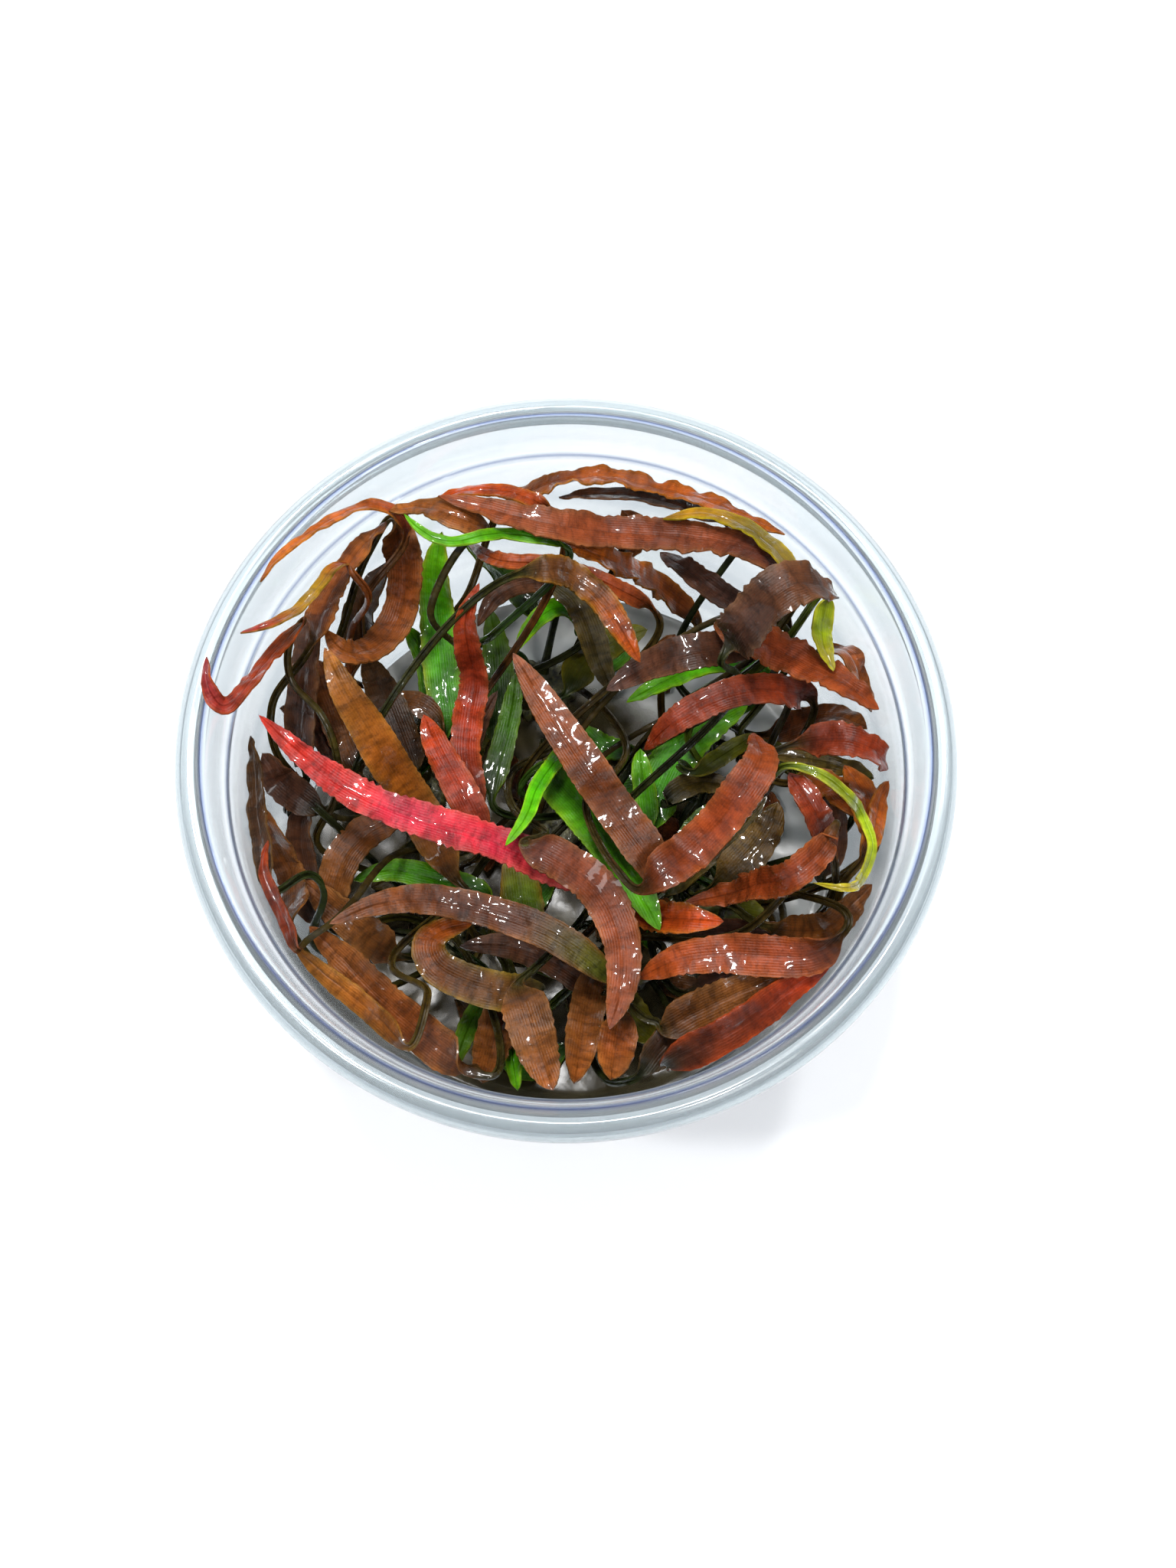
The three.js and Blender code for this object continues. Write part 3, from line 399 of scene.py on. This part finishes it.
def softened(values, reach):
    """Values averaged with their neighbours, with both ends kept."""
    if reach < 1 or len(values) < 2 * reach + 2:
        return values
    padded = np.pad(values, ((reach, reach), (0, 0)), mode="reflect", reflect_type="odd")
    window = np.hanning(2 * reach + 3)[1:-1]
    window /= window.sum()
    return np.stack([np.convolve(column, window, mode="valid") for column in padded.T], axis=1)


def unit(vectors):
    return vectors / np.maximum(np.linalg.norm(vectors, axis=1, keepdims=True), 1e-9)


def smoothstep(x):
    x = np.clip(x, 0, 1)
    return x * x * (3 - 2 * x)


def leaf_strip(name, rings, tip, coat, form, step=0.00055, columns=15):
    """One leaf as a closed mesh along its rings. coat gives its colours and form its ruffles."""
    corners = np.concatenate([rings, np.repeat(np.array(tip)[None, None], 4, axis=1)])
    middles = (corners[:, 0] + corners[:, 2]) / 2
    sides = unit(corners[:, 0] - corners[:, 2])
    sides[-1] = sides[-2]
    halves = np.linalg.norm(corners[:, 0] - corners[:, 2], axis=1) / 2
    depths = np.linalg.norm(corners[:, 1] - corners[:, 3], axis=1)
    stalk_rings = int((depths > thickest_blade).sum())
    places = np.concatenate([[0], np.cumsum(np.linalg.norm(np.diff(middles, axis=0), axis=1))])
    blade_start = places[stalk_rings] if stalk_rings < len(places) - 1 else 0
    rows = max(24, int(places[-1] / step))
    at = np.linspace(0, places[-1], rows)
    line = softened(through(middles, places, at), 3)
    side = np.stack([np.interp(at, places, sides[:, k]) for k in range(3)], axis=1)
    side = unit(softened(side, 5))
    along = unit(np.gradient(line, axis=0))
    side = unit(side - along * (side * along).sum(axis=1, keepdims=True))
    up = np.cross(along, side)

    # How far each row is blade, not stalk, and how far the ruffles have grown there
    open_blade = smoothstep((at - blade_start + 0.002) / 0.006)[:, None]
    share = np.clip((at - blade_start) / (places[-1] - blade_start), 0, 1)[:, None]
    ruffle, nick, channel, bluntness = form
    taper = (1 - share[:, 0] ** bluntness) ** 0.75
    half = (halves.max() * smoothstep((share[:, 0] + 0.18) / 0.38) * taper)[:, None]
    grown = open_blade * smoothstep(share / 0.15) * smoothstep((1 - share) / 0.1)

    # Waves about 6 and 3 mm long run along each margin by itself, and small nicks along its edge
    dice = np.random.default_rng(sum(map(ord, name)))
    phase = dice.uniform(0, 2 * math.pi, 16)
    across = np.linspace(-1, 1, columns)[None, :]
    outward = np.abs(across)
    mm = at[:, None] * 1000
    which = np.where(across > 0, 1.0, 0.0)
    wobble = 1.1 * np.sin(mm / 4.7 + phase[2])
    wave = np.sin(mm * 2 * math.pi / 6.3 + phase[0] + which * phase[1] + wobble)
    wobble = np.sin(mm / 3.1 + phase[5])
    ripple = np.sin(mm * 2 * math.pi / 2.9 + phase[3] + which * phase[4] + wobble)
    swell = np.sin(mm / 8.3 + phase[6]) * np.cos(across * 1.7 + phase[7])
    strength = 0.65 + 0.35 * np.sin(mm / 5.3 + phase[8] + which * phase[9])
    edge = outward**2.5
    ruffled = edge * strength * (wave + 0.5 * ripple) + 0.3 * swell * (1 - edge)
    lift = ruffle / 1000 * grown * ruffled
    lift = lift + 0.00005 * grown * np.sin(mm * 1.7 + across * 3 + phase[10])
    lift = lift + channel * half * grown * outward**1.4
    groove = np.exp(-((across / 0.13) ** 2)) * smoothstep(half / 0.0012)
    lift = lift - 0.00016 * grown * groove
    wobble = 1.3 * np.sin(mm * 0.9 + phase[13])
    jag = 0.5 * np.abs(np.sin(mm * 2.3 + phase[11] + which * phase[12] + wobble))
    jag = jag + 0.3 * np.sin(mm * 0.47 + phase[14] + which)
    jag = jag + 0.25 * np.sin(mm * 5.1 + phase[15])
    sideways = half * across * (1 + nick * grown * (jag - 0.3) * outward**3)

    # The stalk is the same strip rolled up into a channel, a little wider at its foot
    sheath = 1 + 0.7 * np.exp(-mm / 2.2)
    roll = across * 2.2
    stalk_side = stalk_radius * sheath * np.sin(roll)
    stalk_lift = stalk_radius * sheath * (0.35 - np.cos(roll))
    sideways = stalk_side * (1 - open_blade) + sideways * open_blade
    lift = stalk_lift * (1 - open_blade) + lift * open_blade
    points = line[:, None] + side[:, None] * sideways[..., None] + up[:, None] * lift[..., None]

    # Colour along the blade, and towards its margins
    foot, middle, end, margin = [np.array(linear(c)) for c in coat]
    toward_tip = smoothstep((share - 0.45) / 0.5)[..., None]
    from_foot = smoothstep(share / 0.4)[..., None]
    tone = foot * (1 - from_foot) + middle * from_foot * (1 - toward_tip) + end * toward_tip
    stalk = (foot + 2 * np.array(linear("#1e2c0c"))) / 3
    blade_share = open_blade[..., None]
    tone = tone * blade_share + stalk * (1 - blade_share) * np.ones(tone.shape)
    rim = (0.75 * outward**5 * open_blade)[..., None]
    tone = tone * (1 - rim) + margin * rim

    bpy.ops.object.select_all(action="DESELECT")
    bpy.ops.mesh.primitive_grid_add(x_subdivisions=rows - 1, y_subdivisions=columns - 1, size=1)
    made = bpy.context.object
    made.name = name
    mesh = made.data
    flat = np.empty(len(mesh.vertices) * 3)
    mesh.vertices.foreach_get("co", flat)
    flat = flat.reshape(-1, 3)
    row = np.rint((flat[:, 0] + 0.5) * (rows - 1)).astype(int)
    column = np.rint((flat[:, 1] + 0.5) * (columns - 1)).astype(int)
    mesh.vertices.foreach_set("co", points[row, column].ravel())

    # For the tissue: millimetres along and across the blade, and the colour
    blade = mesh.attributes.new("blade", "FLOAT_VECTOR", "POINT")
    facts = [mm, sideways * 1000, outward]
    facts = np.stack([np.broadcast_to(fact, sideways.shape) for fact in facts], axis=2)
    blade.data.foreach_set("vector", facts[row, column].ravel())
    shade = mesh.attributes.new("shade", "FLOAT_COLOR", "POINT")
    tone = np.concatenate([tone, np.ones(tone.shape[:2] + (1,))], axis=2)
    shade.data.foreach_set("color", tone[row, column].ravel())

    skin = made.modifiers.new("thickness", "SOLIDIFY")
    skin.thickness = leaf_thickness
    skin.offset = 0
    bpy.ops.object.modifier_apply(modifier=skin.name)
    bpy.ops.object.shade_smooth_by_angle(angle=math.radians(60))
    return made


# Leaf tissue, grown: satin, with fine veins along the blade, darker bars and blotches across it,
# and culture water on it. bars and freckles are how dark its markings are, and wetness is how much
# of it the water covers.
def leaf_tissue(name, bars, freckles, wetness):
    tissue, tree = new_material(name)
    blade = add(tree, "Attribute", {"attribute_name": "blade"}, {}).outputs["Vector"]
    shade = add(tree, "Attribute", {"attribute_name": "shade"}, {}).outputs["Color"]
    place = object_place(tree)

    def along_blade(scale):
        return add(tree, "Mapping", {}, {"Vector": blade, "Scale": scale}).outputs[0]

    # Blotches about 2 mm wide and clouds about 8 mm wide, cross bars about 1.3 mm apart, veins
    # 0.35 mm apart, freckles, and a dark midrib
    mottle = spread(tree, noise(tree, place, 480, 5, 0.6), 0.3, 0.7, 0.66, 1.3)
    cloud = spread(tree, noise(tree, place, 130, 2), 0.35, 0.65, 0.68, 1.2)
    bar = noise(tree, along_blade((0.75, 0.22, 0)), 1, 3, 0.7)
    vein = add(
        tree, "TexWave", {"bands_direction": "Y"},
        {"Vector": along_blade((0.04, 1, 0)), "Scale": 0.9, "Distortion": 1.2, "Detail": 2},
    ).outputs[1]
    freckle = noise(tree, along_blade((1.3, 1.9, 0)), 1, 6, 0.75)
    from_midrib = maths(tree, "ABSOLUTE", add(tree, "SeparateXYZ", {}, {0: blade}).outputs[1])
    markings = [
        cloud,
        spread(tree, bar, 0.47, 0.6, 1, 1 - bars),
        spread(tree, vein, 0, 1, 0.93, 1.03),
        spread(tree, freckle, 0.54, 0.66, 1, 1 - freckles),
        spread(tree, from_midrib, 0.08, 0.3, 0.82, 1),
    ]
    brightness = mottle
    for marking in markings:
        brightness = maths(tree, "MULTIPLY", brightness, marking)

    # The hue drifts over about a centimetre, from warmer to cooler
    hue = noise(tree, place, 95, 1)
    drift = ramp(tree, hue, 0.38, (1, 0.84, 0.66), 0.62, (0.88, 0.86, 0.9))
    tinted = add(tree, "VectorMath", {"operation": "MULTIPLY"}, {0: shade, 1: drift}).outputs[0]
    colour = add(
        tree, "VectorMath", {"operation": "SCALE"}, {0: tinted, "Scale": brightness}
    ).outputs[0]

    # The water is a clear coat: a film that lies in patches, and drops, domes about 0.6 mm across
    # on some of the cells of a grid of 1.4 mm
    cells = add(tree, "TexVoronoi", {}, {"Vector": place, "Scale": 700, "Randomness": 1})
    picked = add(tree, "SeparateXYZ", {}, {0: cells.outputs["Color"]}).outputs[0]
    chosen = maths(tree, "LESS_THAN", picked, 0.08 + 0.25 * wetness)
    dome = spread(tree, cells.outputs["Distance"], 0.08, 0.24, 1, 0)
    drop = maths(tree, "MULTIPLY", dome, chosen)
    shore = 0.58 - 0.2 * wetness
    film = spread(tree, noise(tree, place, 210, 2), shore, shore + 0.03, 0, 1)
    crinkle = noise(tree, place, 420, 1)
    water = maths(tree, "MULTIPLY_ADD", drop, 0.5, crinkle)

    # Under it the tissue between the veins stands up in small blisters
    blister = noise(tree, place, 800, 3)
    height = maths(tree, "MULTIPLY_ADD", vein, 0.1, blister)
    give_surface(tree, {
        "Base Color": colour,
        "Roughness": 0.42,
        "IOR": 1.36,
        "Specular IOR Level": 0.22,
        "Normal": relief(tree, height, 0.00022, 1),
        "Subsurface Weight": 0.1,
        "Subsurface Radius": (0.0012, 0.0007, 0.0004),
        "Subsurface Scale": 1,
        "Coat Weight": maths(tree, "MAXIMUM", film, drop),
        "Coat IOR": 1.4,
        "Coat Roughness": 0.08,
        "Coat Normal": relief(tree, water, 0.00035, 1),
    })
    return tissue


# Tissue of each kind of leaf, and its colours: foot of the blade, middle, tip and margin
tissues = {
    "red": leaf_tissue("living leaf red", 0.34, 0.38, 0.15),
    "brown": leaf_tissue("living leaf brown", 0.42, 0.45, 0.22),
    "green": leaf_tissue("living leaf green", 0.15, 0.08, 0.3),
}
coats = {
    "pink": ("red", "#561c08", "#a01e32", "#a4291c", "#9c4440"),
    "scarlet": ("red", "#4f1f12", "#7c2913", "#873013", "#874222"),
    "red": ("red", "#42180c", "#65250f", "#712912", "#75381e"),
    "brick": ("red", "#4b230d", "#713012", "#783613", "#784220"),
    "orange": ("red", "#53290c", "#803f0e", "#8c4810", "#87561b"),
    "flame": ("red", "#6f290c", "#8b360c", "#91380f", "#8d5617"),
    "amber": ("red", "#54300f", "#7c4612", "#82501a", "#7c5620"),
    "salmon": ("red", "#4a2208", "#50280c", "#723c1e", "#6c4426"),
    "arch": ("brown", "#3e470e", "#46281a", "#5c3214", "#64401e"),
    "rose": ("red", "#44241a", "#62301a", "#6e381e", "#6c4426"),
    "tan": ("brown", "#44260e", "#673a16", "#71431a", "#755226"),
    "brown": ("brown", "#38200e", "#5c3614", "#683c18", "#6a4622"),
    "russet": ("brown", "#44240e", "#6a3816", "#70401a", "#744a22"),
    "dark": ("brown", "#1d130b", "#311f10", "#3c2813", "#4a361c"),
    "mauve": ("brown", "#281913", "#442a1b", "#4d301f", "#593f29"),
    "plum": ("brown", "#23150f", "#3a241a", "#42291e", "#513828"),
    "folded": ("brown", "#332314", "#5d3612", "#8d3f0f", "#785616"),
    "curl": ("brown", "#33260f", "#4a2e12", "#803f10", "#675718"),
    "corner": ("red", "#27190e", "#58230f", "#97300e", "#8b3813"),
    "olive": ("green", "#433908", "#6c5b0c", "#83630d", "#918316"),
    "rim olive": ("red", "#93320e", "#806514", "#8b2926", "#806a1e"),
    "rim orange": ("red", "#6a2a1f", "#934912", "#995617", "#935e1c"),
    "rim red": ("red", "#51320f", "#89300d", "#7a2629", "#8f4217"),
    "moss": ("green", "#212805", "#3e4309", "#4e500c", "#656114"),
    "deep": ("green", "#152204", "#234304", "#305107", "#455d10"),
    "green": ("green", "#1e4304", "#357205", "#438307", "#688f1b"),
    "bright": ("green", "#2b6304", "#409604", "#569c09", "#7ca81b"),
    "lime": ("green", "#52630a", "#7c9210", "#8a8115", "#a2a228"),
    "dull olive": ("brown", "#21210d", "#3c3413", "#453a16", "#53481e"),
    "striped green": ("green", "#2b6304", "#409604", "#4e9a09", "#91982f"),
    "striped tan": ("green", "#3c5108", "#4e6b09", "#685d15", "#7c5718"),
    "wet tan": ("brown", "#36290c", "#513c13", "#594217", "#5d4921"),
}

# How each leaf's blade is formed: the height of its ruffles in millimetres, the depth of the nicks
# in its margin, how far it is channelled, and how blunt its tip is
plain, wavy = (0.2, 0.08, 0.05, 5), (0.36, 0.13, 0.1, 5)
crisp, curly = (0.5, 0.22, 0.08, 5), (0.58, 0.18, 0.2, 5)

# Rootstocks
# Each is a short woody stem set in the gel, with a tuft of roots below and its young leaves
# growing from its heart, all one plant. young_coats gives each young leaf's coat by the place of
# its tip, in millimetres. The low leaves over the gel take theirs in turn.
young_coats = [
    (-35.8, -12.1, "brown"), (-24, 32.5, "dark"), (-11.5, 30.7, "deep"), (-10.9, -39.4, "brown"),
    (-7.4, 18.8, "deep"), (32.4, -24.6, "plum"), (25.6, 15.2, "bright"), (7.1, 39.9, "russet"),
    (-12.9, 25.9, "mauve"), (-7.5, 23, "bright"), (-14.3, 37.5, "deep"), (11.5, 27.9, "moss"),
    (6.5, 16.2, "dull olive"), (-27.3, 12, "brown"), (-38.5, 12.6, "mauve"), (-34.4, 20, "brown"),
    (-10, 16.2, "mauve"), (-23.5, 27.1, "green"), (-16.9, 36.9, "striped green"),
    (-29.5, -10.9, "green"), (-6.3, -40.5, "green"), (-34.9, 0.8, "mauve"), (-21.2, -2.5, "brown"),
    (-39.9, 6.4, "plum"), (-15, -37.8, "deep"), (-28.9, 21.4, "dark"), (1, -40.4, "brown"),
    (12.4, -32.8, "moss"), (-14.6, -20.7, "mauve"), (-7.4, -5.7, "striped tan"),
    (27.8, -15.4, "moss"), (35.4, -20.1, "plum"), (27.5, 0.3, "dull olive"),
    (27.7, 5.6, "dull olive"), (5.7, -40, "russet"), (10.1, 8.2, "green"), (20.5, 1, "deep"),
    (23.6, 2.2, "dull olive"), (28.9, -0.9, "wet tan"), (34.2, 1.3, "mauve"),
    (8.2, 15.2, "bright"), (26.6, 10.7, "moss"), (40.4, 0.3, "orange"), (39.6, 9.3, "russet"),
    (-1.2, 39.3, "mauve"),
]
low_coats = ["brown", "dull olive", "green", "russet", "moss"]

# In metres: the stems below the gel's top, how far a stem reaches, and the heights that part the
# tips of the low leaves from those of the young leaves
gel_line, stem_reach = 0.0185, 0.0065
highest_low_tip, lowest_young_tip = 0.023, 0.03


def young_coat(tip):
    """The coat of the young leaf whose tip is nearest to this one."""
    x, y = tip[0] * 1000, tip[1] * 1000
    return min(young_coats, key=lambda entry: math.hypot(entry[0] - x, entry[1] - y))[2]


# Root and stem tissue, grown: olive to dark brown, fibrous and wet
stem_tissue, tree = new_material("wet rootstock")
upright = {"Vector": object_place(tree), "Scale": (1400, 1400, 160)}
fibre = noise(tree, add(tree, "Mapping", {}, upright).outputs[0], 1, 4)
give_surface(tree, {
    "Base Color": ramp(tree, fibre, 0.35, linear("#2c2c14"), 0.7, linear("#6e6a3c")),
    "Roughness": 0.4,
    "Coat Weight": 0.3,
    "Normal": relief(tree, fibre, 0.0003, 0.8),
})

crown_profile = [
    (0.3, 9.1), (0.8, 9.4), (1.7, 10.6), (2.2, 12), (2.7, 14), (3.2, 15.8), (3.9, 17), (4.4, 18),
    (4.7, 18.8), (4.8, 19.6), (4.7, 20.4), (4.3, 20.9), (3.6, 21.2), (2.6, 21.5), (1.4, 21.7),
    (0.5, 21.8), (0.2, 21.8),
]
for name in sorted(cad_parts):
    if not name.startswith("crown_"):
        continue
    source = frame_mesh(name)
    low, high = Vector((9, 9, 9)), Vector((-9, -9, -9))
    for vertex in source.verts:
        if vertex.co.z < gel_line:
            low = Vector(map(min, low, vertex.co))
            high = Vector(map(max, high, vertex.co))
    heart = (low + high) / 2
    leaves = []
    for vertex in source.verts:
        reach = math.hypot(vertex.co.x - heart.x, vertex.co.y - heart.y)
        low_leaf = vertex.co.z < highest_low_tip and reach > stem_reach
        rings = rings_to(vertex) if low_leaf or vertex.co.z > lowest_young_tip else []
        if len(rings) < (2 if low_leaf else 4):
            continue
        coat_name = low_coats[len(leaves) % len(low_coats)] if low_leaf else young_coat(vertex.co)
        tissue, *colours = coats[coat_name]
        strip = leaf_strip(
            name + "_leaf", np.array(rings), vertex.co, colours, wavy, step=0.0007, columns=13
        )
        strip.data.materials.append(tissues[tissue])
        leaves.append(strip)
    source.free()

    # The stem is ridged like a tuft of roots, uneven on top, and moved to where it stands
    stem = turned(name + "_plant", crown_profile, 60)
    for vertex in stem.data.vertices:
        radius = math.hypot(vertex.co.x, vertex.co.y)
        angle = math.atan2(vertex.co.y, vertex.co.x)
        strand = 0.07 * math.sin(angle * 17 + vertex.co.z * 900) + 0.05 * math.sin(angle * 6 + 2)
        vertex.co.x *= 1 + strand
        vertex.co.y *= 1 + strand
        if vertex.co.z > 0.0205:
            vertex.co.z += 0.0003 * math.sin(angle * 5 + radius * 2500)
        vertex.co.x += heart.x
        vertex.co.y += heart.y
    stem.data.materials.append(stem_tissue)
    bpy.ops.object.select_all(action="DESELECT")
    for strip in leaves:
        strip.select_set(True)
    stem.select_set(True)
    bpy.context.view_layer.objects.active = stem
    bpy.ops.object.join()
    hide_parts(name)
    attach(stem, "root")

# Long leaves
# Each grows from the edge of a rootstock on a thin stalk, and its blade lies in the wreath. Some
# reach over the rim. Each has its coat of colours and its form.
long_leaves = {
    "wall_olive": ("brown", wavy),
    "left_wall": ("dark", wavy),
    "left_mauve": ("mauve", plain),
    "bottom_right": ("dark", wavy),
    "right_brown": ("brown", wavy),
    "top_wall": ("orange", crisp),
    "top_back": ("flame", plain),
    "top_crumpled": ("orange", curly),
    "top_red": ("brick", wavy),
    "mauve_flap": ("plum", wavy),
    "left_loop": ("russet", wavy),
    "left_scallop": ("russet", crisp),
    "long_orange": ("amber", plain),
    "red_twist": ("scarlet", curly),
    "red_lance": ("scarlet", wavy),
    "pink": ("pink", crisp),
    "rim_curl": ("rim red", plain),
    "rim_olive": ("rim olive", plain),
    "rim_orange": ("rim orange", plain),
    "purple_mid": ("plum", plain),
    "orange_arch": ("folded", wavy),
    "red_brown": ("red", wavy),
    "wall_brown": ("russet", wavy),
    "large_orange": ("brick", crisp),
    "light_green": ("lime", plain),
    "top_tan": ("tan", wavy),
    "thin_green": ("green", plain),
    "top_long": ("rose", wavy),
    "mauve_wide": ("mauve", curly),
    "wall_orange": ("orange", wavy),
    "wall_curl": ("orange", plain),
    "wall_red": ("red", crisp),
    "red_hook": ("red", wavy),
    "right_red": ("brick", curly),
    "green_ring": ("lime", plain),
    "corner_brown": ("brown", wavy),
    "corner_red": ("corner", plain),
    "orange_low": ("flame", curly),
    "long_red": ("brick", wavy),
    "orange_curl": ("curl", plain),
    "lower_brown": ("russet", wavy),
    "lower_orange": ("amber", plain),
    "wall_strip": ("red", plain),
    "bottom_wide": ("brown", wavy),
    "salmon_arch": ("arch", plain),
    "broad_green": ("green", plain),
    "top_olive": ("olive", plain),
    "small_green": ("bright", plain),
    "central": ("salmon", plain),
    "hanging_salmon": ("rose", wavy),
    "red_orange": ("brick", wavy),
}
for key, (coat_name, form) in long_leaves.items():
    node_name = "leaf_" + key
    source = frame_mesh(node_name)
    tips = [v for v in source.verts if len(v.link_edges) == 4]
    tip = max(tips, key=lambda v: len(rings_to(v)))
    tissue, *colours = coats[coat_name]
    strip = leaf_strip(key + "_leaf", np.array(rings_to(tip)), tip.co, colours, form)
    source.free()
    strip.data.materials.append(tissues[tissue])
    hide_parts(node_name)
    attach(strip, "root")
